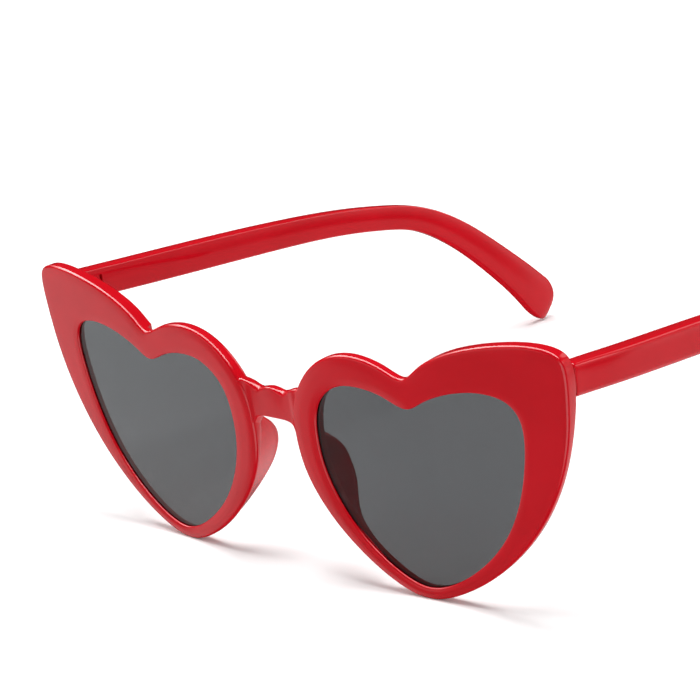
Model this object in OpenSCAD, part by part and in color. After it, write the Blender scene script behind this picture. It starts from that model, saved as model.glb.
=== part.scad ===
// Heart shaped sunglasses: one moulded front with snapped-in lenses, two folding temples and
// two small screwed hinges. Millimetres. The front faces -Y, the temples run back along +Y and
// +Z is up. The glasses stand open on the two heart tips and the two temple tips.
// Left and right are the wearer's: left is +X.

/* [Front] */
// Width of the front, measured along its curved face
front_w = 146.8; // [130:0.2:156]
// Height of the front from its lower tips to its outer corners
front_h = 53.6; // [48:0.2:58]
// Width of the gap between the two hearts at the bridge
nose_gap = 12.2; // [10:0.2:16]
// Radius of the gentle curve of the front around the face
wrap_r = 418; // [300:1:900]
// Angle by which the front leans forward at its top
lean = 3.5; // [0:0.1:6]
// Thickness of the front at the bridge
bridge_t = 3.3; // [3.2:0.1:4.2]
// Thickness of the front at its outer edges
corner_t = 2.5; // [2.4:0.1:3.4]
// How much thicker the front is where the temples meet it
hinge_rise = 0.7; // [0.3:0.1:1]
// Radius of the crisp front edges of the rims
edge_r = 0.5; // [0.3:0.05:0.7]
// Radius of the soft rear edges of the rims
back_edge_r = 1.1; // [0.8:0.1:1.2]
// Radius of the rounded edges around the lens openings
opening_edge_r = 0.35; // [0.2:0.05:0.4]

/* [Bridge] */
// Height of the bridge at its middle
bridge_h = 5.5; // [4.5:0.1:6.5]
// Thickness of the bridge
bridge_web_t = 2.6; // [2.4:0.1:2.9]
// How far the bridge sits back from the face of the rims
bridge_setback = 0.6; // [0.3:0.1:0.6]
// Radius of the well rounded rear edges of the bridge
bridge_edge_r = 1.4; // [1:0.1:1.6]

/* [Nose pads] */
// How far the moulded nose pads reach behind the face of the front
pad_reach = 7.8; // [6.5:0.1:9]
// How far the pads spread away from the nose over that reach
pad_splay = 1.3; // [0.5:0.1:2]
// Thickness of the pads
pad_t = 2.2; // [1.8:0.1:2.8]

/* [Lenses] */
// Thickness of the lenses
lens_t = 1; // [0.8:0.05:1]
// Depth of the lens face behind the face of the front
lens_recess = 0.6; // [0.55:0.05:0.9]
// Depth of the groove that holds the lens edge
groove_depth = 0.7; // [0.5:0.05:0.8]
// Play of the lens in its groove
lens_play = 0.05; // [0.02:0.01:0.08]

/* [Temples] */
// Reach of the temples behind the hinges
temple_l = 137.7; // [120:0.1:145]
// Height of the temples along their straight part
temple_h = 6.8; // [6.2:0.1:7.6]
// Thickness of the temples at the hinge
temple_t = 4.2; // [3.8:0.1:4.8]
// Thickness of the flattened temple tips
tip_t = 3.4; // [2.8:0.1:4]
// Radius of the rounded temple ends
tip_r = 4.9; // [4.6:0.1:6]
// How far each temple leans inwards from its hinge to its tip
toe_in = 3.3; // [0:0.1:5]
// Inset of the temples from the outer edge of the front
temple_inset = 0.5; // [0.3:0.1:1]

/* [Hinges] */
// Outer radius of the hinge barrels
barrel_r = 1.45; // [1.3:0.05:1.6]
// Height of each outer barrel
outer_barrel_h = 1.3; // [1:0.1:1.5]
// Height of the middle barrel
middle_barrel_h = 1.4; // [1.2:0.1:1.6]
// Gap between neighbouring barrels
barrel_gap = 0.1; // [0.08:0.01:0.15]
// Thickness of the hinge plates
plate_t = 0.8; // [0.6:0.05:0.9]
// Depth of the moulded-in hinge plate under the inner face of the temple
plate_depth = 1; // [0.8:0.05:1.1]
// Length of the plate on the front
front_plate_l = 5; // [4.5:0.1:5.5]
// Length of the plate on the temple
temple_plate_l = 8.4; // [7.5:0.1:9]
// Radius of the hinge screw
screw_r = 0.6; // [0.5:0.05:0.7]
// Radius of the posts and studs that hold the hinge plates
stud_r = 0.6; // [0.4:0.05:0.65]
// Width of the short upright slit behind each moulded-in plate
slit_w = 0.7; // [0.5:0.05:0.9]
// Height of the slit
slit_h = 3.7; // [3:0.1:4.2]
// Depth of the slit
slit_depth = 0.6; // [0.4:0.05:0.7]
// Radius of the screw head
screw_head_r = 1.15; // [1:0.05:1.25]
// Height of the screw head
screw_head_h = 0.5; // [0.4:0.05:0.6]
// Gap between a temple and the back of the front
hinge_gap = 0.25; // [0.2:0.05:0.4]
// Clearance around the pieces that are let into the plastic
fit_gap = 0.05; // [0.03:0.01:0.1]

/* [Hidden] */

frame_red = [0.76, 0.11, 0.15];
lens_grey = [0.33, 0.35, 0.35, 0.8];
hinge_steel = [0.75, 0.75, 0.76];

// Samples between neighbouring outline points, and along and around a temple
outline_steps = 4;
temple_steps = 3;
temple_sides = 16;
end_steps = 6;
// Samples between bridge sections and around each of its edges
bridge_steps = 2;
corner_steps = 3;

// How far cutting tools run past the solid that they cut
overrun = 1;
// Depth of the small flats on which the glasses rest
foot_depth = 0.12;

// Outer edge of a heart as shares of its width and height, clockwise from the notch,
// with 0, 0 at the foot of its inner side
heart_shares = [
    [0.44, 0.824], [0.51, 0.879], [0.63, 0.945], [0.77, 0.982], [0.885, 0.991], [0.962, 0.971],
    [0.989, 0.914], [0.985, 0.8], [0.963, 0.645], [0.906, 0.465], [0.803, 0.282], [0.666, 0.131],
    [0.536, 0.039], [0.43, 0], [0.327, 0.022], [0.207, 0.108], [0.095, 0.235], [0.018, 0.388],
    [-0.004, 0.54], [0.013, 0.675], [0.076, 0.789], [0.16, 0.859], [0.258, 0.882], [0.361, 0.857]];
// Edge of the lens opening, point for point beside the outer edge
opening_shares = [
    [0.435, 0.714], [0.5, 0.745], [0.595, 0.789], [0.695, 0.806], [0.771, 0.792], [0.812, 0.753],
    [0.827, 0.695], [0.824, 0.62], [0.808, 0.525], [0.774, 0.403], [0.714, 0.275], [0.625, 0.162],
    [0.523, 0.08], [0.43, 0.045], [0.349, 0.066], [0.259, 0.134], [0.17, 0.242], [0.109, 0.376],
    [0.085, 0.505], [0.093, 0.628], [0.128, 0.707], [0.186, 0.755], [0.26, 0.769], [0.355, 0.75]];
// Height of the bridge's middle and of the hinges as shares of the front's height
bridge_place_share = 0.638;
hinge_place_share = 0.862;
// Bridge sections from its middle outwards: place as a share of half the nose gap, rise of its
// top and drop of its foot from the bridge's middle as shares of its height
bridge_shares = [
    [0, 0.56, 0.5], [0.33, 0.56, 0.5], [0.65, 0.6, 0.54], [0.82, 0.655, 0.62],
    [0.95, 0.705, 0.82], [1.2, 0.765, 1.1], [1.55, 0.8, 1.2]];
// Depth of the nose pads from bottom to top: height as a share of the front's height and depth
// as a share of the pad's reach
pad_shares = [
    [0.13, 0.3], [0.185, 0.42], [0.23, 0.62], [0.275, 0.82], [0.32, 0.95], [0.37, 1], [0.42, 1],
    [0.465, 0.92], [0.51, 0.72], [0.545, 0.47]];
// Temple sections from hinge to tip: reach as a share of the temple's length, drop of the
// centre line as a share of the full drop, half height as a share of the straight half height
// and inward lean as a share of the whole
temple_shares = [
    [0, 0, 0.925, 0], [0.05, 0.012, 0.935, 0.02], [0.12, 0.03, 0.94, 0.07],
    [0.245, 0.059, 0.95, 0.2], [0.39, 0.094, 0.92, 0.35], [0.535, 0.14, 0.855, 0.52],
    [0.645, 0.199, 0.825, 0.66], [0.725, 0.267, 0.835, 0.76], [0.79, 0.372, 0.895, 0.85],
    [0.848, 0.499, 0.985, 0.92], [0.905, 0.657, 1.2, 0.97], [0.956, 0.811, 1.32, 1],
    [1, 1, 1.45, 1]];

heart_w = (front_w - nose_gap) / 2;
notch_count = len(heart_shares);

// Mixes two values or points
function mix(a, b, s) = a + (b - a) * s;

// Smooth curve through a closed ring of points, with the same count of samples on each span
function loop_curve(pts, steps) = [
    for (i = [0 : len(pts) - 1], j = [0 : steps - 1])
        curve_at(pts[(i + len(pts) - 1) % len(pts)], pts[i],
            pts[(i + 1) % len(pts)], pts[(i + 2) % len(pts)], j / steps)];

// Smooth curve through an open row of points
function row_curve(pts, steps) = [
    for (i = [0 : len(pts) - 2], j = [0 : steps - 1])
        curve_at(pts[max(i - 1, 0)], pts[i], pts[i + 1], pts[min(i + 2, len(pts) - 1)], j / steps),
    pts[len(pts) - 1]];

// Point at share s between b and c of the curve that passes through a, b, c and d
function curve_at(a, b, c, d, s) =
    b + (c - a) * s / 2 + (2 * a - 5 * b + 4 * c - d) * s * s / 2
    + (3 * (b - c) + d - a) * s * s * s / 2;

// Place on the curved and leaning front: u along the face, v up it and d behind it
function wrapped(u, v, d) =
    let (turn = u / wrap_r * 180 / PI, back = wrap_r - (wrap_r - d) * cos(turn))
    [(wrap_r - d) * sin(turn),
     back * cos(lean) - v * sin(lean),
     v * cos(lean) + back * sin(lean) + lift];

function heart_points(shares) = [for (p = shares) [nose_gap / 2 + p[0] * heart_w, p[1] * front_h]];

outer_edge = loop_curve(heart_points(heart_shares), outline_steps);
opening_edge = loop_curve(heart_points(opening_shares), outline_steps);

// The lowest point of the rim would be foot_depth under the floor, where it is cut flat
tip_u = heart_points(heart_shares)[13][0];
lift = -foot_depth - (wrap_r - wrap_r * cos(tip_u / wrap_r * 180 / PI)) * sin(lean);

// Thickness of the front at a place along its width
function front_t(u) = mix(bridge_t, corner_t, min(u / (front_w / 4), 1));

// Thickness of its outer edge, which swells behind the temples' ends
function outer_t(u, v) =
    front_t(u) + hinge_rise * (u > front_w / 4 ? exp(-pow((v - corner_v) / (temple_h * 1.4), 2)) : 0);

// Corner of the front where the temple stands behind it
corner_v = hinge_place_share * front_h;
corner_place = wrapped(front_w / 2 - back_edge_r, corner_v, corner_t + hinge_rise);
lug_y = corner_place[1];
hinge_z = corner_place[2];
temple_x = wrapped(front_w / 2, corner_v, corner_t)[0] - temple_inset - temple_t / 2;
temple_y = lug_y + hinge_gap;
axis_x = temple_x - temple_t / 2 - barrel_r - hinge_gap;
axis_y = temple_y + barrel_r;
barrels_h = 2 * outer_barrel_h + middle_barrel_h + 2 * barrel_gap;
barrels_z = hinge_z - barrels_h / 2;

// The origin lies under the middle of the open glasses
front_most = min([for (p = outer_edge) wrapped(p[0], p[1], 0)[1]]);
back_most = temple_y + temple_l + tip_r;
centre_y = (front_most + back_most) / 2;

// Faces of a solid that joins rings of points, each ring joined to the next. A closed row of
// rings makes a hoop, an open one gets flat ends.
module loft(rings, closed) {
    n = len(rings[0]);
    count = len(rings);
    last = closed ? count - 1 : count - 2;
    sides = [
        for (i = [0 : last], j = [0 : n - 1])
            let (a = i * n, b = ((i + 1) % count) * n, k = (j + 1) % n)
            each [[a + j, b + j, b + k], [a + j, b + k, a + k]]];
    ends = closed ? [] : [
        [for (j = [0 : n - 1]) j],
        [for (j = [0 : n - 1]) (count - 1) * n + n - 1 - j]];
    polyhedron(points = [for (r = rings) each r], faces = concat(sides, ends), convexity = 8);
}

// Moves a piece from the design place to the part's own frame
module placed() {
    translate([0, -centre_y, 0]) children();
}

// Draws a right hand piece for the left of the wearer as it is, or mirrored
module sided(side) {
    mirror([side < 0 ? 1 : 0, 0, 0]) children();
}

// Section of the rim between the lens opening and the outer edge
function rim_ring(k) =
    let (inner = opening_edge[k], outer = outer_edge[k], width = norm(outer - inner),
        away = (outer - inner) / width, t = front_t(inner[0]), s = outer_t(outer[0], outer[1]),
        r = min(edge_r, width / 4), b = min(back_edge_r, width / 3),
        q = min(opening_edge_r, width / 4), soft = 0.3,
        groove = min(groove_depth, width / 3),
        groove_front = lens_recess - lens_play, groove_back = lens_recess + lens_t + lens_play)
    [for (p = [
        [q, 0], [q * soft, q * soft], [0, q], [0, groove_front], [groove, groove_front],
        [groove, groove_back], [0, groove_back], [0, t - q], [q, t],
        [width - b, s], [width - b * soft, s - b * soft], [width, s - b],
        [width, r], [width - r * soft, r * soft], [width - r, 0]])
        let (place = inner + away * p[0]) wrapped(place[0], place[1], p[1])];

module rim() {
    loft([for (k = [0 : len(outer_edge) - 1]) rim_ring(k)], true);
}

// Section of the bridge: an upright rounded bar, crisp in front and soft behind
function bridge_ring(row) =
    let (middle = bridge_place_share * front_h, top = middle + row[1] * bridge_h,
        foot = middle - row[2] * bridge_h, near = bridge_setback,
        far = bridge_setback + bridge_web_t, r = edge_r, b = bridge_edge_r, count = corner_steps)
    [for (c = [
        [top - r, near + r, r, 180], [foot + r, near + r, r, 270],
        [foot + b, far - b, b, 0], [top - b, far - b, b, 90]])
        for (i = [0 : count])
            let (a = c[3] + 90 * i / count)
            wrapped(row[0] * nose_gap / 2, c[0] - c[2] * cos(a), c[1] + c[2] * sin(a))];

module bridge() {
    half = [for (i = [0 : len(bridge_shares) - 1]) bridge_shares[i]];
    other = [for (i = [len(half) - 1 : -1 : 1]) [-half[i][0], half[i][1], half[i][2]]];
    loft([for (row = row_curve(concat(other, half), bridge_steps)) bridge_ring(row)], false);
}

// One slice of a moulded nose pad: its rounded rear edge and its root in the rim
module pad_slice(k) {
    outer = outer_edge[k];
    inward = (opening_edge[k] - outer) / norm(opening_edge[k] - outer);
    r = pad_t / 2;
    reach = pad_reach * lookup(outer[1] / front_h, pad_shares);
    for (d = [bridge_t / 2, max(reach - r, bridge_t / 2)]) {
        place = outer + inward * (r + pad_splay * d / pad_reach);
        translate(wrapped(place[0], place[1], d)) sphere(r, $fn = 16);
    }
}

// Samples of the outline beside which the nose pads run
pad_first = 15 * outline_steps;
pad_last = 18 * outline_steps;

module nose_pad() {
    for (k = [pad_first : pad_last - 1]) hull() {
        pad_slice(k);
        pad_slice(k + 1);
    }
}

// Rounded block on the back of the outer corner, with a flat face for the hinge and temple
module lug() {
    inner_x = axis_x + barrel_r - front_plate_l - edge_r;
    outer_x = corner_place[0];
    root_y = wrapped(front_w / 2, corner_v, corner_t / 4)[1];
    hull() for (x = [inner_x, outer_x - edge_r], z = [-1, 1])
        translate([x, lug_y, hinge_z + z * (temple_h / 2 - edge_r)])
            rotate([90, 0, 0]) cylinder(h = lug_y - root_y, r = edge_r, $fn = 24);
}

// Room for the hinge plate and its two studs in the front
module front_plate_pocket() {
    translate([axis_x + barrel_r - front_plate_l - fit_gap, lug_y - plate_t - fit_gap,
            barrels_z - fit_gap])
        cube([front_plate_l + 2 * fit_gap, plate_t + fit_gap + overrun, barrels_h + 2 * fit_gap]);
    for (place = front_stud_places()) translate(place) rotate([90, 0, 0])
        cylinder(h = stud_l + fit_gap, r = stud_r + fit_gap, $fn = 24);
}

stud_l = plate_t;

function front_stud_places() = [
    for (z = [-1, 1]) [axis_x + barrel_r - front_plate_l + 2 * stud_r, lug_y - plate_t,
        hinge_z + z * (barrels_h / 2 - 1.5 * stud_r)]];

function temple_post_places() = [
    for (s = [0.6, 0.85]) [temple_plate_x, temple_y + s * temple_plate_l, hinge_z]];

// Everything under the floor, which leaves small flats under the tips
module under_floor() {
    span = 2 * (front_w + temple_l);
    translate([-span / 2, -span / 2, -span]) cube([span, span, span]);
}

module front_frame() {
    color(frame_red) placed() difference() {
        union() {
            bridge();
            for (side = [-1, 1]) sided(side) {
                rim();
                nose_pad();
                lug();
            }
        }
        for (side = [-1, 1]) sided(side) front_plate_pocket();
        under_floor();
    }
}

// Section of the lens from its bevelled edge inwards
function lens_rings() =
    let (count = len(opening_edge), bevel = groove_depth / 3,
        middle = mix(opening_edge[0], opening_edge[13 * outline_steps], 0.5),
        front = lens_recess, back = lens_recess + lens_t)
    [for (ring = [[0, front, 0], [0.5, front, 0], [1, front, -bevel], [1, front + bevel, 0],
            [1, back - bevel, 0], [1, back, -bevel], [0.5, back, 0], [0, back, 0]])
        [for (k = [0 : count - 1])
            let (inner = opening_edge[k], width = norm(outer_edge[k] - inner),
                away = (outer_edge[k] - inner) / width,
                grip = min(groove_depth, width / 3) - lens_play,
                edge = inner + away * (grip + ring[2]),
                place = mix(middle, edge, max(ring[0], 0.02)))
            wrapped(place[0], place[1], ring[1])]];

module lens(side) {
    color(lens_grey) placed() sided(side) loft(lens_rings(), false);
}

module lens_left() { lens(1); }
module lens_right() { lens(-1); }

// Centre line of a temple as rows of reach, height, half height and inward lean
tip_z = tip_r - foot_depth;
temple_row = row_curve([for (p = temple_shares) [p[0] * temple_l, mix(hinge_z, tip_z, p[1]),
    min(p[2] * temple_h / 2, tip_r), p[3] * toe_in]], temple_steps);

// Ring around the temple: a flat rounded section square to the centre line
function temple_ring(row, slope, ahead, share) =
    let (thick = mix(temple_t, tip_t, row[0] / temple_l) / 2 * mix(1, share, 0.7),
        tall = row[2] * share)
    [for (i = [0 : temple_sides - 1])
        let (a = (i + 0.5) * 360 / temple_sides,
            across = thick * sign(cos(a)) * pow(abs(cos(a)), 0.45),
            up = tall * sign(sin(a)) * pow(abs(sin(a)), 0.55))
        [temple_x - row[3] + across,
         temple_y + row[0] + ahead * cos(slope) - up * sin(slope),
         row[1] + ahead * sin(slope) + up * cos(slope)]];

function row_slope(i) =
    let (a = temple_row[max(i - 1, 0)], b = temple_row[min(i + 1, len(temple_row) - 1)])
    i == 0 ? 0 : atan2(b[1] - a[1], b[0] - a[0]);

function temple_rings() =
    let (last = len(temple_row) - 1, slope = row_slope(last))
    concat(
        [for (i = [0 : last]) temple_ring(temple_row[i], row_slope(i), 0, 1)],
        [for (j = [1 : end_steps])
            let (a = 90 * j / (end_steps + 0.3))
            temple_ring(temple_row[last], slope, tip_r * sin(a), cos(a))]);

// Inner face of the temple at its hinge and the plate that is moulded in behind it
face_x = temple_x - temple_t / 2;
temple_plate_x = face_x + plate_depth;

// Room for the moulded-in plate around its two posts, with a notch for the arm of the barrel
module temple_plate_pocket() {
    difference() {
        translate([temple_plate_x - fit_gap, temple_y - overrun, barrels_z - fit_gap])
            cube([plate_t + 2 * fit_gap, overrun + temple_plate_l + fit_gap, barrels_h + 2 * fit_gap]);
        for (place = temple_post_places()) translate(place - [overrun, 0, 0]) rotate([0, 90, 0])
            cylinder(h = plate_t + 2 * overrun, r = stud_r, $fn = 24);
    }
    translate([face_x - overrun, temple_y - overrun, hinge_z - middle_barrel_h / 2 - fit_gap])
        cube([overrun + plate_depth + fit_gap, overrun + axis_y + barrel_r - temple_y + fit_gap,
            middle_barrel_h + 2 * fit_gap]);
    translate([face_x - overrun, temple_y + temple_plate_l, hinge_z - slit_h / 2])
        cube([overrun + slit_depth, slit_w, slit_h]);
}

module temple(side) {
    color(frame_red) placed() sided(side) difference() {
        loft(temple_rings(), false);
        temple_plate_pocket();
        under_floor();
    }
}

module temple_left() { temple(1); }
module temple_right() { temple(-1); }

// Bore for the hinge screw
module screw_bore() {
    translate([axis_x, axis_y, barrels_z - overrun])
        cylinder(h = barrels_h + 2 * overrun, r = screw_r + fit_gap, $fn = 48);
}

// Plate on the back of the front with the two outer barrels
module front_hinge(side) {
    color(hinge_steel) placed() sided(side) difference() {
        union() {
            translate([axis_x + barrel_r - front_plate_l, lug_y - plate_t, barrels_z])
                cube([front_plate_l, plate_t, barrels_h]);
            for (place = front_stud_places()) translate(place) rotate([90, 0, 0])
                cylinder(h = stud_l, r = stud_r, $fn = 24);
            for (z = [barrels_z, barrels_z + barrels_h - outer_barrel_h]) {
                translate([axis_x, axis_y, z]) cylinder(h = outer_barrel_h, r = barrel_r, $fn = 48);
                translate([axis_x - barrel_r, lug_y - plate_t, z])
                    cube([2 * barrel_r, axis_y - lug_y + plate_t, outer_barrel_h]);
            }
        }
        screw_bore();
    }
}

module front_hinge_left() { front_hinge(1); }
module front_hinge_right() { front_hinge(-1); }

// Plate in the temple with the middle barrel on its arm
module temple_hinge(side) {
    color(hinge_steel) placed() sided(side) difference() {
        union() {
            translate([temple_plate_x, temple_y, barrels_z])
                cube([plate_t, temple_plate_l, barrels_h]);
            translate([axis_x, axis_y, hinge_z - middle_barrel_h / 2])
                cylinder(h = middle_barrel_h, r = barrel_r, $fn = 48);
            translate([axis_x, axis_y - barrel_r, hinge_z - middle_barrel_h / 2])
                cube([temple_plate_x + plate_t - axis_x, 2 * barrel_r, middle_barrel_h]);
        }
        screw_bore();
        for (place = temple_post_places()) translate(place - [overrun, 0, 0]) rotate([0, 90, 0])
            cylinder(h = plate_t + 2 * overrun, r = stud_r + fit_gap, $fn = 24);
    }
}

module temple_hinge_left() { temple_hinge(1); }
module temple_hinge_right() { temple_hinge(-1); }

// Slotted screw through the three barrels
module hinge_screw(side) {
    slot_w = screw_head_r / 4;
    color(hinge_steel) placed() sided(side) translate([axis_x, axis_y, barrels_z]) difference() {
        union() {
            cylinder(h = barrels_h + fit_gap, r = screw_r, $fn = 48);
            translate([0, 0, barrels_h + fit_gap])
                cylinder(h = screw_head_h, r = screw_head_r, $fn = 48);
        }
        translate([-screw_head_r - overrun, -slot_w / 2, barrels_h + screw_head_h / 2])
            cube([2 * (screw_head_r + overrun), slot_w, screw_head_h]);
    }
}

module hinge_screw_left() { hinge_screw(1); }
module hinge_screw_right() { hinge_screw(-1); }

front_frame();
lens_left();
lens_right();
temple_left();
temple_right();
front_hinge_left();
front_hinge_right();
temple_hinge_left();
temple_hinge_right();
hinge_screw_left();
hinge_screw_right();
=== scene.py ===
import math

import bmesh
import bpy
import numpy as np
from mathutils import Matrix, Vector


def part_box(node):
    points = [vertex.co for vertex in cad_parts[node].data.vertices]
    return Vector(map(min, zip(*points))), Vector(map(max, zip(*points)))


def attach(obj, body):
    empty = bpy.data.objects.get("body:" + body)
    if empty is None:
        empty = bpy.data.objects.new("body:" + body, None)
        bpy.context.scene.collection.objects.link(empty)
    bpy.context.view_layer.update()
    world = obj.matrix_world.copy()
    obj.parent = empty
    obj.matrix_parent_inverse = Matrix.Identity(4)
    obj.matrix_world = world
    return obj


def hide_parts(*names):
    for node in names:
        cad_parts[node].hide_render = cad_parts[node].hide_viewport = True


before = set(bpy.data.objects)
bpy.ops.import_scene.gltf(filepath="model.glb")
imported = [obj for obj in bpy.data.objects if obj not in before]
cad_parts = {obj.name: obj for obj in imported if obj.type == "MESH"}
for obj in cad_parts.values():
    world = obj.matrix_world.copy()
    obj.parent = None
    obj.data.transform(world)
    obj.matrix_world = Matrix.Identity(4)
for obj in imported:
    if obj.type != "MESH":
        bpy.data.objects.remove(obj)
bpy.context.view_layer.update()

# Rims
# The front is one injection moulding in glossy red plastic. Its two winged hearts have a crisp
# front edge, a soft rear edge and a groove that the lens snaps into. Each rim is one loft of
# rounded sections between the heart's outer edge and its lens opening.
mm = 0.001
front_width, front_height, nose_gap = 146.8 * mm, 53.6 * mm, 12.2 * mm
face_radius, face_lean = 418 * mm, math.radians(3.5)
heart_width, quarter_width = (front_width - nose_gap) / 2, front_width / 4
rim_at_bridge, rim_at_corner, rim_swell = 3.3 * mm, 2.5 * mm, 0.7 * mm
hinge_height, swell_reach, thin_edge_reach = 0.862 * front_height, 9.5 * mm, 9 * mm
front_edge, rear_edge, opening_edge = 0.65 * mm, 1.1 * mm, 0.35 * mm
face_roll, face_drop = 1.7 * mm, 0.14 * mm
lens_recess, lens_thickness, groove_depth, lens_play = 0.6 * mm, 1.0 * mm, 0.7 * mm, 0.05 * mm
pad_reach, pad_splay, pad_thick = 8.9 * mm, 2.7 * mm, 2.2 * mm
foot_flat = 0.12 * mm         # how much of each heart's tip is flattened where it stands
crisp_share = 0.8             # how much of the rear edge's rounding is lost beside the hinge
tip_share = 0.43              # where the tip stands across the heart
nose_height_share, nose_spread_share = 0.34, 0.24      # where the nose touches, up the front
curve_steps = 14              # points of an edge from one share to the next
both_sides = (("left", 1), ("right", -1))

# Shares of the heart's width and height, clockwise from the notch, and the opening beside them
heart_shares = [
    (0.44, 0.824), (0.51, 0.879), (0.63, 0.945), (0.77, 0.982), (0.885, 0.991), (0.962, 0.971),
    (0.989, 0.914), (0.985, 0.8), (0.963, 0.645), (0.906, 0.465), (0.803, 0.282), (0.666, 0.131),
    (0.536, 0.039), (0.43, 0), (0.327, 0.022), (0.207, 0.108), (0.095, 0.235), (0.018, 0.388),
    (-0.004, 0.54), (0.013, 0.675), (0.076, 0.789), (0.16, 0.859), (0.258, 0.882), (0.361, 0.857)]
opening_shares = [
    (0.435, 0.714), (0.5, 0.745), (0.595, 0.789), (0.695, 0.806), (0.771, 0.792), (0.812, 0.753),
    (0.827, 0.695), (0.824, 0.62), (0.808, 0.525), (0.774, 0.403), (0.714, 0.275), (0.625, 0.162),
    (0.523, 0.08), (0.43, 0.045), (0.349, 0.066), (0.259, 0.134), (0.17, 0.242), (0.109, 0.376),
    (0.085, 0.505), (0.093, 0.628), (0.128, 0.707), (0.186, 0.755), (0.26, 0.769), (0.355, 0.75)]


def smooth_curve(points, steps, closed):
    """Evenly curved line through the points, with no kink in its bend."""
    p = np.array(points, float)
    n = len(p)
    bend = np.zeros_like(p)
    if closed:
        before, after = np.roll(p, 1, 0), np.roll(p, -1, 0)
        rows = 4 * np.eye(n) + np.roll(np.eye(n), 1, 1) + np.roll(np.eye(n), -1, 1)
        bend = np.linalg.solve(rows, 6 * (before - 2 * p + after))
        ahead, bend_ahead = after, np.roll(bend, -1, 0)
    else:
        rows = 4 * np.eye(n - 2) + np.eye(n - 2, k=1) + np.eye(n - 2, k=-1)
        bend[1:-1] = np.linalg.solve(rows, 6 * (p[:-2] - 2 * p[1:-1] + p[2:]))
        p, ahead, bend, bend_ahead = p[:-1], p[1:], bend[:-1], bend[1:]
    spans = []
    for t in np.arange(steps) / steps:
        s = 1 - t
        spans.append(s * p + t * ahead + (s ** 3 - s) * bend / 6 + (t ** 3 - t) * bend_ahead / 6)
    curve = np.stack(spans, 1).reshape(-1, p.shape[1])
    return curve if closed else np.vstack([curve, ahead[-1]])


def edge_line(shares):
    """A closed edge of the left heart, laid out flat."""
    points = [(nose_gap / 2 + x * heart_width, y * front_height) for x, y in shares]
    return smooth_curve(points, steps=curve_steps, closed=True)


def wrapped(u, v, depth):
    """Place on the face-hugging front: u along it, v up it and depth behind it."""
    turn = u / face_radius
    back = face_radius - (face_radius - depth) * np.cos(turn)
    return np.stack([(face_radius - depth) * np.sin(turn),
                     back * math.cos(face_lean) - v * math.sin(face_lean),
                     v * math.cos(face_lean) + back * math.sin(face_lean)], -1) + seat


def outward(line):
    """Unit directions that point out of a closed clockwise line."""
    along = np.roll(line, -1, 0) - np.roll(line, 1, 0)
    normal = np.stack([-along[:, 1], along[:, 0]], -1)
    return normal / np.linalg.norm(normal, axis=1)[:, None]


heart_line, opening_line = edge_line(heart_shares), edge_line(opening_shares)
front_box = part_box("front_frame")
tip_u = nose_gap / 2 + tip_share * heart_width
tip_rise = (face_radius - face_radius * math.cos(tip_u / face_radius)) * math.sin(face_lean)
seat = np.zeros(3)
foremost = wrapped(heart_line[:, 0], heart_line[:, 1], 0 * heart_line[:, 0])[:, 1].min()
seat = np.array([0.0, front_box[0].y - foremost, -foot_flat - tip_rise])


def rim_thickness(u):
    """How thick the front is, which falls from the bridge to the middle of each heart."""
    return rim_at_bridge + (rim_at_corner - rim_at_bridge) * np.clip(u / quarter_width, 0, 1)


def rounding(radius, start, stop, steps):
    """Points of a rounded edge: how far each lies along the face and across it."""
    turns = np.radians(np.linspace(start, stop, steps + 1))
    return [(radius * (1 - math.cos(t)), radius * (1 - math.sin(t))) for t in turns]


def nose_draft():
    """How much the side that the nose touches leans, all along the heart."""
    height = heart_line[:, 1] / front_height
    by_nose = np.exp(-((height - nose_height_share) / nose_spread_share) ** 4) * (heart_line[:, 0] < tip_u)
    return pad_splay / pad_reach * by_nose


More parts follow.
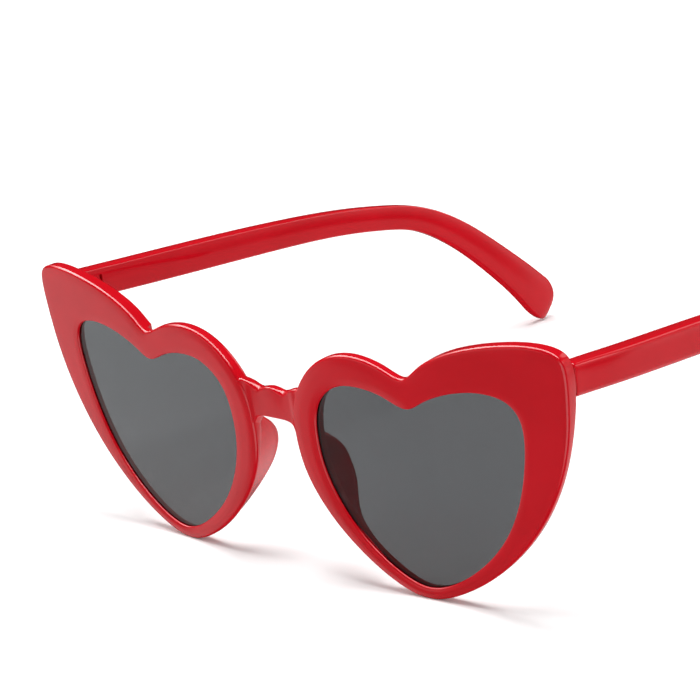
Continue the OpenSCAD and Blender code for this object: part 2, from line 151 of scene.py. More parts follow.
def rim_sections():
    """Rings around the left rim's section, one for each point along the heart."""
    out, inn = outward(heart_line), outward(opening_line)
    width = np.linalg.norm(heart_line - opening_line, axis=1)
    thick = rim_thickness(opening_line[:, 0])
    outer_half, from_hinge = heart_line[:, 0] > quarter_width, heart_line[:, 1] - hinge_height
    swell = rim_swell * np.exp(-(from_hinge / swell_reach) ** 2)
    outer_thick = rim_thickness(heart_line[:, 0]) + swell * outer_half
    near_hinge = np.exp(-(from_hinge / thin_edge_reach) ** 2) * outer_half
    rear = np.minimum(rear_edge * (1 - crisp_share * near_hinge), width / 3)
    draft = nose_draft()
    roll = np.minimum(face_roll, (width - front_edge - opening_edge) / 2)
    sections = []

    def ring(line, direction, along, depth):
        place = line + direction * np.broadcast_to(along, len(line))[:, None]
        sections.append(wrapped(place[:, 0], place[:, 1], np.broadcast_to(depth, len(line))))

    for along, across in rounding(opening_edge, 90, 0, 6):     # from the face down into the opening
        ring(opening_line, inn, along, face_drop + across)
    ring(opening_line, inn, 0, lens_recess - lens_play)
    ring(opening_line, inn, groove_depth, lens_recess - lens_play)
    ring(opening_line, inn, groove_depth, lens_recess + lens_thickness + lens_play)
    ring(opening_line, inn, 0, lens_recess + lens_thickness + lens_play)
    for along, across in rounding(opening_edge, 0, 90, 5):     # out of the opening at the rear
        ring(opening_line, inn, along, thick - across)
    for share in (1, 0.85, 0.7, 0.5, 0.3, 0.15, 0):            # the rounded rear edge
        turn = math.radians(90 * share)
        depth = outer_thick - rear * (1 - math.sin(turn))
        ring(heart_line, out, -rear * (1 - math.cos(turn)) - draft * depth, depth)
    for along, across in rounding(front_edge, 0, 90, 7):       # the crisp front edge
        ring(heart_line, out, -along, face_drop + across)
    for share in (0.15, 0.35, 0.6, 0.8, 1):                    # the face rolls off gently to its edges
        ring(heart_line, out, -front_edge - roll * share, face_drop * (1 - share) ** 2)
    for share in (1, 0.8, 0.6, 0.35, 0.15):
        ring(opening_line, inn, opening_edge + roll * share, face_drop * (1 - share) ** 2)
    rings = np.stack(sections, 1)
    rings[..., 2] = np.clip(rings[..., 2], 0, front_box[1].z)
    return rings


def outside_out(mesh):
    """Turns the faces so that the solid's volume is positive."""
    bm = bmesh.new()
    bm.from_mesh(mesh)
    bmesh.ops.recalc_face_normals(bm, faces=bm.faces)
    if bm.calc_volume(signed=True) < 0:
        bmesh.ops.reverse_faces(bm, faces=bm.faces)
    bm.to_mesh(mesh)
    bm.free()


def lofted(name, rings, closed=True, caps=False, sharp=40):
    """Smooth surface over rings of points. A closed row of rings makes a hoop."""
    count, around = rings.shape[:2]
    faces = []
    for i in range(count if closed else count - 1):
        a, b = i * around, (i + 1) % count * around
        faces += [(a + j, b + j, b + (j + 1) % around, a + (j + 1) % around) for j in range(around)]
    if caps:
        faces.append(tuple(range(around)))
        faces.append(tuple((count - 1) * around + around - 1 - j for j in range(around)))
    mesh = bpy.data.meshes.new(name)
    mesh.from_pydata(rings.reshape(-1, 3).tolist(), [], faces)
    mesh.validate()
    outside_out(mesh)
    mesh.shade_smooth()
    mesh.set_sharp_from_angle(angle=math.radians(sharp))
    piece = bpy.data.objects.new(name, mesh)
    bpy.context.scene.collection.objects.link(piece)
    return piece


def moulding_marks():
    """Shared effect: faint flow of pigment, gloss that varies a little, and slow surface waves."""
    group = bpy.data.node_groups.new("moulding_marks", "ShaderNodeTree")
    sockets = group.interface
    for name, kind, value in (("Colour", "NodeSocketColor", None), ("Deep colour", "NodeSocketColor", None),
                              ("Gloss", "NodeSocketFloat", 0.1), ("Gloss spread", "NodeSocketFloat", 0.05),
                              ("Wave size", "NodeSocketFloat", 0.02)):
        socket = sockets.new_socket(name, in_out="INPUT", socket_type=kind)
        if value is not None:
            socket.default_value = value
    for name, kind in (("Colour", "NodeSocketColor"), ("Roughness", "NodeSocketFloat"),
                       ("Height", "NodeSocketFloat")):
        sockets.new_socket(name, in_out="OUTPUT", socket_type=kind)
    new, link = group.nodes.new, group.links.new
    given, result, place = new("NodeGroupInput"), new("NodeGroupOutput"), new("ShaderNodeTexCoord")

    def noise(scale, detail):
        node = new("ShaderNodeTexNoise")
        node.inputs["Scale"].default_value = scale
        node.inputs["Detail"].default_value = detail
        link(place.outputs["Object"], node.inputs["Vector"])
        return node

    flow, haze = noise(scale=55, detail=3), noise(scale=900, detail=4)
    blend = new("ShaderNodeMix")
    blend.data_type = "RGBA"
    band = new("ShaderNodeMapRange")
    band.interpolation_type = "SMOOTHSTEP"
    band.inputs["From Min"].default_value, band.inputs["From Max"].default_value = 0.35, 0.7
    link(flow.outputs["Fac"], band.inputs["Value"])
    link(band.outputs["Result"], blend.inputs["Factor"])
    link(given.outputs["Colour"], blend.inputs["A"])
    link(given.outputs["Deep colour"], blend.inputs["B"])
    link(blend.outputs["Result"], result.inputs["Colour"])
    spread = new("ShaderNodeMath")
    spread.operation = "MULTIPLY_ADD"
    link(haze.outputs["Fac"], spread.inputs[0])
    link(given.outputs["Gloss spread"], spread.inputs[1])
    link(given.outputs["Gloss"], spread.inputs[2])
    link(spread.outputs["Value"], result.inputs["Roughness"])
    size, waves = new("ShaderNodeMath"), noise(scale=1, detail=1)
    size.operation = "DIVIDE"
    size.inputs[0].default_value = 1
    link(given.outputs["Wave size"], size.inputs[1])
    link(size.outputs["Value"], waves.inputs["Scale"])
    link(waves.outputs["Fac"], result.inputs["Height"])
    return group


marks = moulding_marks()


def plastic(name, colour, deep, gloss, spread, wave, wave_height):
    """Moulded plastic: its colour, gloss and faint waves come from the shared marks."""
    material = bpy.data.materials.new(name)
    material.use_nodes = True
    nodes, link = material.node_tree.nodes, material.node_tree.links.new
    shader = nodes["Principled BSDF"]
    effect = nodes.new("ShaderNodeGroup")
    effect.node_tree = marks
    effect.inputs["Colour"].default_value = (*colour, 1)
    effect.inputs["Deep colour"].default_value = (*deep, 1)
    effect.inputs["Gloss"].default_value = gloss
    effect.inputs["Gloss spread"].default_value = spread
    effect.inputs["Wave size"].default_value = wave
    bump = nodes.new("ShaderNodeBump")
    bump.inputs["Strength"].default_value = 1
    bump.inputs["Distance"].default_value = wave_height
    link(effect.outputs["Colour"], shader.inputs["Base Color"])
    link(effect.outputs["Roughness"], shader.inputs["Roughness"])
    link(effect.outputs["Height"], bump.inputs["Height"])
    link(bump.outputs["Normal"], shader.inputs["Normal"])
    shader.inputs["IOR"].default_value = 1.5
    return material


red_plastic = plastic("red_plastic", colour=(0.60, 0.0045, 0.0125), deep=(0.55, 0.0035, 0.010),
                      gloss=0.03, spread=0.06, wave=14 * mm, wave_height=0.008 * mm)


def fitted(piece, material, body, slot, *nodes):
    """Gives a piece its finish and its body, and hides the plain solids that it stands for."""
    piece.data.materials.clear()
    piece.data.materials.append(material)
    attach(piece, body)
    if nodes:
        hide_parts(*nodes)


rim_rings = rim_sections()
for side, sign in both_sides:
    rim = lofted(f"rim_{side}", rim_rings * (sign, 1, 1))
    fitted(rim, red_plastic, "front", "frame_red", "front_frame")

# Bridge
# A flat upright bar of the same moulding joins the hearts, set back a little from their faces. Its
# face curves forward into the rims, its upper rear edge is well rounded, and two shallow scoops
# along its upper front edge give its top two small waves.
bridge_height, bridge_set, bridge_thick = 5.5 * mm, 0.6 * mm, 2.6 * mm
bridge_middle, blend_in, blend_out = 0.638 * front_height, 0.7 * mm, 0.6 * mm
front_scoop, rear_round, least_flat = 1.15 * mm, 1.4 * mm, 0.1 * mm
foot_front_round, foot_rear_round = 0.5 * mm, 1.1 * mm
buried_slant = 0.2            # how steeply the buried ends run back inside the rims
side_from, side_to = 15, 21   # the heart's inner side, by its places in heart_shares
bridge_shares = [  # of the half gap, the rise of the top, the drop of the foot and the scoop
    (0, 0.655, 0.5, 0.35), (0.24, 0.62, 0.5, 0.5), (0.48, 0.565, 0.51, 0.9), (0.66, 0.59, 0.54, 1),
    (0.82, 0.65, 0.62, 0.8), (0.95, 0.705, 0.82, 0.5), (1.2, 0.765, 1.1, 0.4), (1.55, 0.8, 1.2, 0.4)]


def inner_side_u(v):
    """Where the inner side of the heart stands at a height."""
    side_points = heart_line[side_from * curve_steps:side_to * curve_steps]
    return np.interp(v, side_points[:, 1], side_points[:, 0])


def bridge_sections():
    """Rings around the bar, from inside the right rim to inside the left one."""
    half = [(u * nose_gap / 2, top, foot, scoop) for u, top, foot, scoop in bridge_shares]
    rows = smooth_curve([(-u, *rest) for u, *rest in half[:0:-1]] + half, steps=14, closed=False)
    rings = []
    for u, top, foot, scoop in rows:
        front_round = front_scoop * scoop
        edges = [  # whether at the top or the foot, front or rear, radius, start angle
            (1, 0, front_round, 180), (-1, 0, foot_front_round, 270), (-1, 1, foot_rear_round, 0),
            (1, 1, min(rear_round, bridge_thick - front_round - least_flat), 90)]
        high, low = bridge_middle + top * bridge_height, bridge_middle - foot * bridge_height
        ring, front_share = [], []
        for up, rear, r, start in edges:
            v0 = high - r if up > 0 else low + r
            d0 = bridge_set + bridge_thick - r if rear else bridge_set + r
            for a in np.radians(np.linspace(start, start + 90, 7)):
                ring.append((v0 - r * math.cos(a), d0 + r * math.sin(a)))
                front_share.append(0 if rear else -math.sin(a))
        ring = np.array(ring)
        inside = abs(u) - inner_side_u(ring[:, 0])            # how far into the rim it is
        t = np.clip((inside + blend_out) / (blend_in + blend_out), 0, 1)
        face = face_drop * (1 - np.clip((inside - front_edge) / face_roll, 0, 1)) ** 2
        buried = buried_slant * np.maximum(inside - blend_in, 0)
        forward = (bridge_set - face) * t * t * (3 - 2 * t) - buried
        depth = ring[:, 1] - forward * np.array(front_share)
        rings.append(wrapped(np.full(len(ring), u), ring[:, 0], depth))
    return np.stack(rings)


bridge = lofted("bridge", bridge_sections(), closed=False, caps=True)
fitted(bridge, red_plastic, "front", "frame_red", "front_frame")

# Nose pads
# The pads are fins of the same moulding. Each grows out of the inner side of its rim, leans away
# from the nose and ends in a full round edge.
nose_side_start, lens_side_start = 0.45 * mm, 0.9 * mm
pad_proud, pad_sunk, proud_over = 0.05 * mm, 0.12 * mm, 0.8 * mm
root_thick, root_margin, root_reach = 3.4 * mm, 0.7 * mm, 2.4 * mm
pad_from, pad_to = 14.5, 19   # the part of heart_shares that the pad can grow from
pad_foot_share, pad_head_share = 0.075, 0.605
pad_shares = [  # of the front's height, and of the pad's reach at that height
    (0.07, 0.3), (0.1, 0.36), (0.13, 0.42), (0.185, 0.5), (0.23, 0.64), (0.275, 0.82), (0.32, 0.95),
    (0.37, 1), (0.42, 1), (0.465, 0.92), (0.51, 0.74), (0.545, 0.52), (0.575, 0.38), (0.61, 0.33)]


def pad_sections():
    """Rings across the left pad, open at the rim, from its foot to its head."""
    inward = -outward(heart_line)
    width = np.linalg.norm(heart_line - opening_line, axis=1)
    table = smooth_curve(pad_shares, steps=8, closed=False)
    height = heart_line[:, 1] / front_height
    reach = pad_reach * np.interp(height, table[:, 0], table[:, 1])
    r = pad_thick / 2
    rings = []
    for k in range(int(pad_from * curve_steps), pad_to * curve_steps):
        if not pad_foot_share < height[k] < pad_head_share:
            continue
        far = reach[k]
        root = min(root_thick, width[k] - root_margin)         # as thick as the rim lets it be
        along, depth = [], []
        lean = pad_splay * (far - r) / pad_reach
        for share in np.linspace(0, 1, 12):                    # the side that touches the nose
            d = nose_side_start + share * (far - r - nose_side_start)
            proud = min(1, (d - nose_side_start) / proud_over)
            along.append(lean * d / (far - r) - pad_proud * proud + pad_sunk * (1 - proud) ** 2)
            depth.append(d)
        for a in np.radians(np.linspace(12, 168, 11)):         # the round rear edge
            along.append(lean - pad_proud + r - r * math.cos(a))
            depth.append(far - r + r * math.sin(a))
        for share in np.linspace(1, 0, 10):                    # the side behind the lens
            d = lens_side_start + share * (far - r - lens_side_start)
            straight = lean * d / (far - r) + 2 * r
            near = max(0, 1 - (d - root_reach) / root_reach) if d > root_reach else 1
            flare = (root - straight) * near ** 2 if root > straight or near == 1 else 0
            along.append(straight + flare)
            depth.append(d)
        place = heart_line[k] + inward[k] * np.array(along)[:, None]
        rings.append(wrapped(place[:, 0], place[:, 1], np.array(depth)))
    return np.stack(rings)


pad_rings = pad_sections()
for side, sign in both_sides:
    pad = lofted(f"nose_pad_{side}", pad_rings * (sign, 1, 1), closed=False, caps=True)
    fitted(pad, red_plastic, "front", "frame_red", "front_frame")

# Hinge blocks
# Behind each outer corner the moulding has a low rounded block with a flat rear face. The hinge
# plate is let into it, so the pocket is cut out of the block.
plate_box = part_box("front_hinge_left")
block_rear = wrapped(np.array([front_width / 2 - rear_edge]), np.array([hinge_height]),
                     np.array([rim_at_corner + rim_swell]))[0]
hinge_z, temple_high = block_rear[2], 6.8 * mm
block_wall, block_inset, block_deep, block_round = 0.55 * mm, 0.2 * mm, 1.7 * mm, 0.5 * mm
pocket_deep, fit, overrun = 0.85 * mm, 0.05 * mm, 1 * mm
round_end_shares = ((1, 0), (0.6, 0.08), (0.25, 0.34), (0, 1))   # before the rear face, in from the side
round_corners = ((1, 1, 0), (-1, 1, 90), (-1, -1, 180), (1, -1, 270))   # side, up or down, start angle


def rounded_block(name, low, high, radius):
    """A block whose lengthwise and rear edges are rounded, as a loft of rounded rectangles."""
    rows = [(low[1], 0)]
    rows += [(high[1] - radius * before, radius * inset) for before, inset in round_end_shares]
    rings = []
    for y, inset in rows:
        ring = []
        for side, over, start in round_corners:
            edge_x, edge_z = (high if side > 0 else low)[0], (high if over > 0 else low)[2]
            for a in np.radians(np.linspace(start, start + 90, 7)):
                ring.append((edge_x - side * (radius + inset) + radius * math.cos(a), y,
                             edge_z - over * (radius + inset) + radius * math.sin(a)))
        rings.append(ring)
    return lofted(name, np.array(rings), closed=False, caps=True)


def cut(piece, name, boxes):
    """Cuts sharp pockets out of a piece."""
    corners, faces = [], []
    for low, high in boxes:
        base = len(corners)
        xs, ys, zs = zip(low, high)
        corners += [(x, y, z) for x in xs for y in ys for z in zs]
        faces += [tuple(base + i for i in face) for face in
                  ((0, 1, 3, 2), (4, 6, 7, 5), (0, 4, 5, 1), (2, 3, 7, 6), (0, 2, 6, 4), (1, 5, 7, 3))]
    mesh = bpy.data.meshes.new(name)
    mesh.from_pydata(corners, [], faces)
    tool = bpy.data.objects.new(name, mesh)
    bpy.context.scene.collection.objects.link(tool)
    step = piece.modifiers.new(name, "BOOLEAN")
    step.operation, step.solver, step.object = "DIFFERENCE", "EXACT", tool
    step.use_self = True
    shaped = bpy.data.meshes.new_from_object(piece.evaluated_get(bpy.context.evaluated_depsgraph_get()))
    piece.modifiers.clear()
    piece.data = shaped
    shaped.shade_smooth()
    shaped.set_sharp_from_angle(angle=math.radians(40))
    bpy.data.objects.remove(tool)


def mirrored_over(piece):
    """Turns a finished left piece into the right one."""
    piece.data.transform(Matrix.Diagonal((-1, 1, 1, 1)))
    piece.data.flip_normals()


block_low = (plate_box[0].x - block_wall, block_rear[1] - block_deep, hinge_z - temple_high / 2)
block_high = (block_rear[0] - block_inset, block_rear[1], hinge_z + temple_high / 2)
plate_pocket = ((plate_box[0].x - fit, block_rear[1] - pocket_deep, plate_box[0].z - fit),
                (plate_box[1].x + fit, block_rear[1] + overrun, plate_box[1].z + fit))
for side, sign in both_sides:
    block = rounded_block(f"hinge_block_{side}", block_low, block_high, block_round)
    cut(block, f"plate_pocket_{side}", [plate_pocket])
    if sign < 0:
        mirrored_over(block)
    fitted(block, red_plastic, "front", "frame_red", "front_frame")

# Lenses
# Each lens is a thin sheet of clear grey plastic that follows the front's curve. Its bevelled
# edge sits in the rim's groove with a hair of play.
lens_bevel, bevel_round_share = groove_depth / 3, 0.3
lens_middle_shares = (0.44, 0.42)                              # of the heart's width and height
sheet_shares = (0.004, 0.12, 0.25, 0.4, 0.55, 0.7, 0.85, 0.95, 1)      # from the middle to the edge
foot_tint, tint, tint_share = (0.082, 0.083, 0.085), (0.0895, 0.094, 0.098), 0.45
fade_foot, fade_head = 2 * mm, 46 * mm


def lens_sections():
    """Rings from the middle of the left lens's face around its edge to the middle of its rear."""
    inn = outward(opening_line)
    grip = groove_depth - lens_play
    middle = np.array([nose_gap / 2 + lens_middle_shares[0] * heart_width,
                       lens_middle_shares[1] * front_height])
    front, rear = lens_recess, lens_recess + lens_thickness
    eased = bevel_round_share * lens_bevel
    rows = [(s, front, -lens_bevel) for s in sheet_shares]
    rows += [(1, front + eased, -eased), (1, front + lens_bevel, 0), (1, rear - lens_bevel, 0),
             (1, rear - eased, -eased)]
    rows += [(s, rear, -lens_bevel) for s in sheet_shares[::-1]]
    rings = []
    for share, depth, inset in rows:
        place = middle + (opening_line + inn * (grip + inset) - middle) * share
        rings.append(wrapped(place[:, 0], place[:, 1], np.full(len(place), depth)))
    return np.stack(rings)


def tinted_plastic():
    """Clear grey plastic, a little deeper towards the foot of the lens."""
    material = bpy.data.materials.new("grey_lens")
    material.use_nodes = True
    nodes, link = material.node_tree.nodes, material.node_tree.links.new
    shader = nodes["Principled BSDF"]
    place, split = nodes.new("ShaderNodeTexCoord"), nodes.new("ShaderNodeSeparateXYZ")
    fade, climb = nodes.new("ShaderNodeValToRGB"), nodes.new("ShaderNodeMapRange")
    climb.inputs["From Min"].default_value, climb.inputs["From Max"].default_value = fade_foot, fade_head
    fade.color_ramp.elements[0].color = (*foot_tint, 1)
    fade.color_ramp.elements[1].color = (*tint, 1)
    fade.color_ramp.elements[1].position = tint_share
    link(place.outputs["Object"], split.inputs["Vector"])
    link(split.outputs["Z"], climb.inputs["Value"])
    link(climb.outputs["Result"], fade.inputs["Fac"])
    link(fade.outputs["Color"], shader.inputs["Base Color"])
    shader.inputs["Roughness"].default_value = 0.0
    shader.inputs["IOR"].default_value = 1.33
    shader.inputs["Transmission Weight"].default_value = 1.0
    return material


grey_lens = tinted_plastic()
lens_rings = lens_sections()
for side, sign in both_sides:
    lens = lofted(f"tinted_lens_{side}", lens_rings * (sign, 1, 1), closed=False, caps=True, sharp=25)
    lens.visible_shadow = False
    fitted(lens, grey_lens, "front", "lens_grey", f"lens_{side}")

# Temples
# Each temple is a red moulding, a flat bar with rounded edges. It runs straight back from the
# hinge, bends down behind the ear and widens into a thin, rounded tip. Slots take the hinge.
temple_length, temple_thick, tip_thick = 137.7 * mm, 4.2 * mm, 2.6 * mm
tip_radius, toe_in, temple_inset, hinge_gap = 4.9 * mm, 3.3 * mm, 0.5 * mm, 0.25 * mm
edge_by_head, edge_outside, roundest_share = 0.45 * mm, 0.85 * mm, 0.9
crown_by_head, crown_outside, crown_over = 0.13, 0.05, 0.03
slimmed_share, slimmed_reach = 0.2, 9 * mm                     # thinner outside where it meets the rim
tip_cap, tip_sink, cap_fullness, cap_thinning = 5.9 * mm, 0.45, 0.55, 0.7
eased_end = ((0, 0.93), (0.07 * mm, 0.975), (0.25 * mm, 1))   # how far in, and the section's share
flat_shares = np.array([[0.2], [0.4], [0.6], [0.8]])
temple_shares = [  # of the length, the drop to the tip, half the height and the toe-in
    (0, 0, 0.925, 0), (0.05, 0.012, 0.935, 0.02), (0.12, 0.03, 0.94, 0.07),
    (0.245, 0.059, 0.95, 0.2), (0.39, 0.094, 0.92, 0.35), (0.535, 0.14, 0.855, 0.52),
    (0.645, 0.199, 0.825, 0.66), (0.725, 0.267, 0.835, 0.76), (0.79, 0.373, 0.91, 0.85),
    (0.848, 0.508, 0.99, 0.92), (0.905, 0.668, 1.09, 0.97), (0.955, 0.82, 1.22, 1),
    (0.994, 0.952, 1.38, 1)]
outer_corner = wrapped(np.array([front_width / 2]), np.array([hinge_height]), np.array([rim_at_corner]))[0]
temple_x, temple_y = outer_corner[0] - temple_inset - temple_thick / 2, block_rear[1] + hinge_gap


def bar_outline(thick, high):
    """The bar's section: a rectangle with rounded edges, crisper on the side by the head."""
    edges, points = [], []
    for side, over, start in round_corners:
        a = np.radians(np.linspace(start, start + 90, 9))
        r = min(edge_outside if side > 0 else edge_by_head, roundest_share * thick, roundest_share * high)
        edges.append(np.stack([side * (thick - r) + r * np.cos(a), over * (high - r) + r * np.sin(a)], -1))
    for k, edge in enumerate(edges):
        points += [edge, edge[-1] + (edges[(k + 1) % 4][0] - edge[-1]) * flat_shares]
    return np.vstack(points)


def temple_sections():
    """Rings across the left temple, from the hinge to the end of its tip."""
    tip_z = tip_radius - foot_flat
    rows = smooth_curve([(reach * temple_length, hinge_z + (tip_z - hinge_z) * drop,
                          min(half * temple_high / 2, tip_radius), lean * toe_in)
                         for reach, drop, half, lean in temple_shares], steps=9, closed=False)
    slopes = np.arctan2(np.gradient(rows[:, 1]), np.gradient(rows[:, 0]))
    slopes[0] = 0
    rings = []

    def ring(row, slope, ahead, share, sink=0):
        thick = (temple_thick + (tip_thick - temple_thick) * row[0] / temple_length) / 2
        thick, high = thick * (1 + (share - 1) * cap_thinning), row[2] * share
        outline = bar_outline(thick, high)
        crown = np.where(outline[:, 0] < 0, crown_by_head, crown_outside)
        across = outline[:, 0] * (1 - crown * (outline[:, 1] / high) ** 2)
        across[across > 0] *= 1 - slimmed_share * math.exp(-(row[0] / slimmed_reach) ** 2)
        rise = outline[:, 1] * (1 - crown_over * (outline[:, 0] / thick) ** 2) - sink * row[2]
        x = temple_x - row[3] + across
        y = temple_y + row[0] + ahead * math.cos(slope) - rise * math.sin(slope)
        z = row[1] + ahead * math.sin(slope) + rise * math.cos(slope)
        rings.append(np.stack([x, y, z], -1))

    for ahead, share in eased_end:
        ring(rows[0], 0, ahead, share)
    for row, slope in zip(rows[1:], slopes[1:]):
        ring(row, slope, 0, 1)
    for a in np.radians(np.linspace(6, 87, 14)):               # the tip rounds off downwards
        share = math.cos(a) ** cap_fullness
        ring(rows[-1], slopes[-1], tip_cap * math.sin(a), share, tip_sink * (1 - share))
    rings = np.stack(rings)
    rings[..., 2] = np.maximum(rings[..., 2], 0)
    return rings


temple_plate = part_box("temple_hinge_left")
inner_face = temple_x - temple_thick / 2
# Slots for the hinge's arm and for the temple's plate, and the short slit behind that plate
arm_half, arm_deep, arm_long = 0.7 * mm, 1.1 * mm, 2.95 * mm
plate_half, plate_from, plate_to = 2.15 * mm, 0.95 * mm, 1.85 * mm
slit_half, slit_deep, slit_from, slit_to = 0.9 * mm, 0.6 * mm, 8.4 * mm, 9.1 * mm
hinge_slots = [
    ((inner_face - overrun, temple_y - overrun, hinge_z - arm_half - fit),
     (inner_face + arm_deep, temple_y + arm_long, hinge_z + arm_half + fit)),
    ((inner_face + plate_from, temple_y - overrun, hinge_z - plate_half),
     (inner_face + plate_to, temple_plate[1].y + fit, hinge_z + plate_half)),
    ((inner_face - overrun, temple_y + slit_from, hinge_z - slit_half),
     (inner_face + slit_deep, temple_y + slit_to, hinge_z + slit_half))]
temple_rings = temple_sections()
for side, sign in both_sides:
    temple = lofted(f"temple_arm_{side}", temple_rings, closed=False, caps=True)
    cut(temple, f"hinge_slots_{side}", hinge_slots)
    if sign < 0:
        mirrored_over(temple)
    fitted(temple, red_plastic, f"{side}_temple", "frame_red", f"temple_{side}")

# Hinges and screws
# Each hinge is two small stamped steel plates whose three barrels turn on a slotted screw. The
# plain solids stay, with softened edges and a bright, faintly drawn steel.
soft_edge, least_gap, grain_depth = 0.08 * mm, 0.001 * mm, 0.004 * mm


def drawn_steel():
    """Bright steel with a fine, level drawn grain in its gloss and its surface."""
    material = bpy.data.materials.new("bright_steel")
    material.use_nodes = True
    nodes, link = material.node_tree.nodes, material.node_tree.links.new
    shader = nodes["Principled BSDF"]
    place, squeeze = nodes.new("ShaderNodeTexCoord"), nodes.new("ShaderNodeMapping")
    grain = nodes.new("ShaderNodeTexNoise")
    squeeze.inputs["Scale"].default_value = (900, 900, 9000)
    grain.inputs["Scale"].default_value = 1
    grain.inputs["Detail"].default_value = 3
    gloss, bump = nodes.new("ShaderNodeMapRange"), nodes.new("ShaderNodeBump")
    gloss.inputs["To Min"].default_value, gloss.inputs["To Max"].default_value = 0.2, 0.42
    bump.inputs["Distance"].default_value = grain_depth
    link(place.outputs["Object"], squeeze.inputs["Vector"])
    link(squeeze.outputs["Vector"], grain.inputs["Vector"])
    link(grain.outputs["Fac"], gloss.inputs["Value"])
    link(gloss.outputs["Result"], shader.inputs["Roughness"])
    link(grain.outputs["Fac"], bump.inputs["Height"])
    link(bump.outputs["Normal"], shader.inputs["Normal"])
    shader.inputs["Base Color"].default_value = (0.6, 0.6, 0.61, 1)
    shader.inputs["Metallic"].default_value = 1.0
    return material


bright_steel = drawn_steel()
for node in ("front_hinge_left", "front_hinge_right", "temple_hinge_left", "temple_hinge_right",
             "hinge_screw_left", "hinge_screw_right"):
    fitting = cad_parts[node]
    fitting.data.materials.clear()
    fitting.data.materials.append(bright_steel)
    weld = fitting.modifiers.new("weld", "WELD")
    weld.merge_threshold = least_gap
    soften = fitting.modifiers.new("soft_edges", "BEVEL")
    soften.width, soften.segments, soften.limit_method = soft_edge, 2, "ANGLE"
    soften.angle_limit = math.radians(35)
    soften.harden_normals = True

# Table and light
# The glasses stand on a plain white table in a white studio, under a wide soft light, and only
# small soft shadows show under their tips.
table_reach, table_white, table_glow = 4, 0.87, 0.08


def white_table():
    """Matt white, with a faint glow to the eye and through the lenses."""
    material = bpy.data.materials.new("white_table")
    material.use_nodes = True
    nodes, link = material.node_tree.nodes, material.node_tree.links.new
    nodes.clear()
    out, matt, glow, both = (nodes.new(f"ShaderNode{kind}") for kind in
                             ("OutputMaterial", "BsdfDiffuse", "Emission", "AddShader"))
    seen = nodes.new("ShaderNodeLightPath")
    through, either = nodes.new("ShaderNodeMath"), nodes.new("ShaderNodeMath")
    matt.inputs["Color"].default_value = (table_white, table_white, table_white, 1)
    either.operation = "MAXIMUM"
    through.operation = "MULTIPLY"
    through.inputs[1].default_value = table_glow
    link(seen.outputs["Is Camera Ray"], either.inputs[0])
    link(seen.outputs["Is Transmission Ray"], either.inputs[1])
    link(either.outputs["Value"], through.inputs[0])
    link(through.outputs["Value"], glow.inputs["Strength"])
    link(matt.outputs["BSDF"], both.inputs[0])
    link(glow.outputs["Emission"], both.inputs[1])
    link(both.outputs["Shader"], out.inputs["Surface"])
    return material


table_mesh = bpy.data.meshes.new("table")
table_corners = [(x * table_reach, y * table_reach, 0) for x, y in ((-1, -1), (1, -1), (1, 1), (-1, 1))]
table_mesh.from_pydata(table_corners, [], [(0, 1, 2, 3)])
table = bpy.data.objects.new("table", table_mesh)
table.data.materials.append(white_table())
table.visible_glossy = False
bpy.context.scene.collection.objects.link(table)


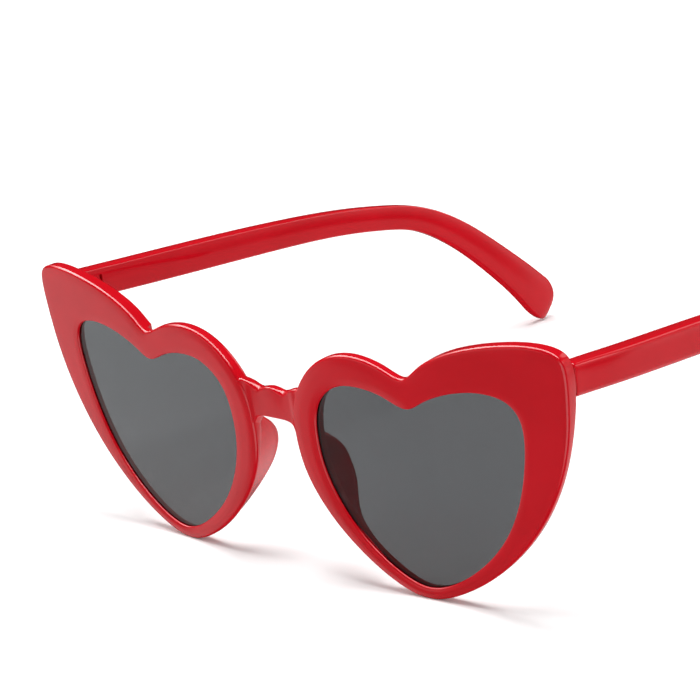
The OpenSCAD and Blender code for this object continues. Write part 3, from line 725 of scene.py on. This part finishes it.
def studio_world():
    """White to the eye and through the lenses, while gloss mirrors a studio that is dark in front."""
    world = bpy.data.worlds.new("studio")
    world.use_nodes = True
    nodes, link = world.node_tree.nodes, world.node_tree.links.new
    nodes.clear()
    out, sky = nodes.new("ShaderNodeOutputWorld"), nodes.new("ShaderNodeBackground")
    seen, place = nodes.new("ShaderNodeLightPath"), nodes.new("ShaderNodeTexCoord")
    split = nodes.new("ShaderNodeSeparateXYZ")
    link(place.outputs["Generated"], split.inputs["Vector"])

    def math_node(operation, a, b):
        node = nodes.new("ShaderNodeMath")
        node.operation = operation
        for socket, value in zip(node.inputs, (a, b)):
            if isinstance(value, (int, float)):
                socket.default_value = value
            else:
                link(value, socket)
        return node.outputs["Value"]

    def times(a, b):
        return math_node("MULTIPLY", a, b)

    def panel(aim, inner, outer, strength):
        """A round, soft-edged panel: its direction, and how many degrees from it the light fades."""
        aim = np.array(aim) / np.linalg.norm(aim)
        toward = nodes.new("ShaderNodeVectorMath")
        toward.operation = "DOT_PRODUCT"
        link(place.outputs["Generated"], toward.inputs[0])
        toward.inputs[1].default_value = aim
        fade = nodes.new("ShaderNodeMapRange")
        fade.interpolation_type = "SMOOTHSTEP"
        fade.inputs["From Min"].default_value = math.cos(math.radians(outer))
        fade.inputs["From Max"].default_value = math.cos(math.radians(inner))
        link(toward.outputs["Value"], fade.inputs["Value"])
        return times(fade.outputs["Result"], strength)

    def ramp(axis, outer, inner, fall="SMOOTHSTEP"):
        """Rises from none to full between two places on an axis."""
        node = nodes.new("ShaderNodeMapRange")
        node.interpolation_type = fall
        node.inputs["From Min"].default_value, node.inputs["From Max"].default_value = outer, inner
        link(split.outputs[axis], node.inputs["Value"])
        return node.outputs["Result"]

    # The strip light hangs over the table, the table ends at a dark gap, and the door is dark
    strip = times(times(ramp("X", -0.95, -0.75), ramp("X", 0.66, 0.42)),
                  times(ramp("Y", -0.38, -0.22), ramp("Y", 0.38, 0.22)))
    strip = times(strip, math_node("GREATER_THAN", split.outputs["Z"], 0.1))
    below = ramp("Z", -0.07, -0.17, "LINEAR")
    not_door = math_node("SUBTRACT", 1.0, panel((0.72, 0.68, -0.165), 3, 8, 1.0))
    panels = [
        times(strip, 11.0),
        panel((-0.88, -0.28, -0.40), 12, 32, 0.62),                  # bright table on the far left
        panel((-0.6, -0.75, -0.37), 25, 50, 0.22),                   # table in front
        times(not_door, times(below, panel((0.3, 0.91, -0.30), 12, 41, 0.37))),      # table behind
        times(not_door, panel((0.66, 0.68, -0.36), 10, 24, 0.26)),   # table on the right, behind
        times(below, panel((-0.40, 0.84, -0.36), 14, 34, 0.24)),     # table on the left, behind
        panel((0.05, 0.72, -0.70), 15, 36, 0.7),                     # table under the front
        panel((0.58, 0.79, 0.12), 10, 24, 0.6),                      # wall on the right, behind
        panel((-0.52, -0.84, 0.12), 6, 20, 0.6),                     # wall in front, on the left
        panel((0.69, 0.65, 0.33), 5, 11, 3.0),                       # three small lamps high behind
        panel((0.15, 0.85, 0.50), 6, 13, 2.0),
        panel((-0.05, 0.95, 0.30), 7, 15, 2.0),
        panel((0.66, -0.70, -0.30), 22, 40, 2.2)]                    # low card by the camera
    dim_room, soft_fill = 0.03, 0.34
    mirrored = dim_room
    for light in panels:
        mirrored = math_node("ADD", light, mirrored)
    direct = math_node("MAXIMUM", seen.outputs["Is Camera Ray"], seen.outputs["Is Transmission Ray"])
    glossy = times(seen.outputs["Is Glossy Ray"], mirrored)
    plain = times(math_node("SUBTRACT", 1.0, seen.outputs["Is Glossy Ray"]), soft_fill)
    shown = math_node("MAXIMUM", direct, math_node("ADD", glossy, plain))
    link(shown, sky.inputs["Strength"])
    link(sky.outputs["Background"], out.inputs["Surface"])
    return world


bpy.context.scene.world = studio_world()
bpy.context.scene.view_settings.view_transform = "Standard"


def standing(place, across, up, back):
    """Where a lamp or the camera stands, and how it is turned."""
    return Matrix([(across[i], up[i], back[i], place[i]) for i in range(3)] + [(0, 0, 0, 1)])


def soft_light(name, place, aim, wide, deep, watts):
    """A rectangular lamp that looks at a point and isn't mirrored in the gloss."""
    lamp = bpy.data.lights.new(name, "AREA")
    lamp.shape, lamp.size, lamp.size_y, lamp.energy = "RECTANGLE", wide, deep, watts
    light = bpy.data.objects.new(name, lamp)
    back = np.array(place) - np.array(aim)
    back = back / np.linalg.norm(back)
    across = np.cross((0.0, 1.0, 0.001), back)
    across = across / np.linalg.norm(across)
    light.matrix_world = standing(place, across, np.cross(back, across), back)
    light.visible_glossy = False
    bpy.context.scene.collection.objects.link(light)


under_lamps = (0, -0.05, 0)
soft_light("overhead", place=(0, -0.05, 3.0), aim=under_lamps, wide=2.4, deep=1.5, watts=100)
soft_light("window_left", place=(-2.8, -0.55, 1.1), aim=under_lamps, wide=1.5, deep=1.5, watts=38)
soft_light("window_behind", place=(2.2, 1.9, 1.0), aim=under_lamps, wide=1.5, deep=1.5, watts=20)

# Camera
# The photographer's place, in front of the wearer's left and a little above. The lens is long, and
# the camera is turned a few degrees about its own axis.
azimuth, elevation, tilt = math.radians(47.45), math.radians(16.73), math.radians(-7.10)
stand = (0.41727, -0.43595, 0.20869)
back = np.array([math.sin(azimuth) * math.cos(elevation), -math.cos(azimuth) * math.cos(elevation),
                 math.sin(elevation)])
level = np.array([math.cos(azimuth), math.sin(azimuth), 0])
upright = np.cross(back, level)
across = math.cos(tilt) * level + math.sin(tilt) * upright
top = -math.sin(tilt) * level + math.cos(tilt) * upright
view = bpy.data.cameras.new("camera")
view.sensor_width, view.lens = 36, 156.7
view.clip_start, view.clip_end = 0.01, 20
camera = bpy.data.objects.new("camera", view)
camera.matrix_world = standing(stand, across, top, back)
bpy.context.scene.collection.objects.link(camera)
bpy.context.scene.camera = camera
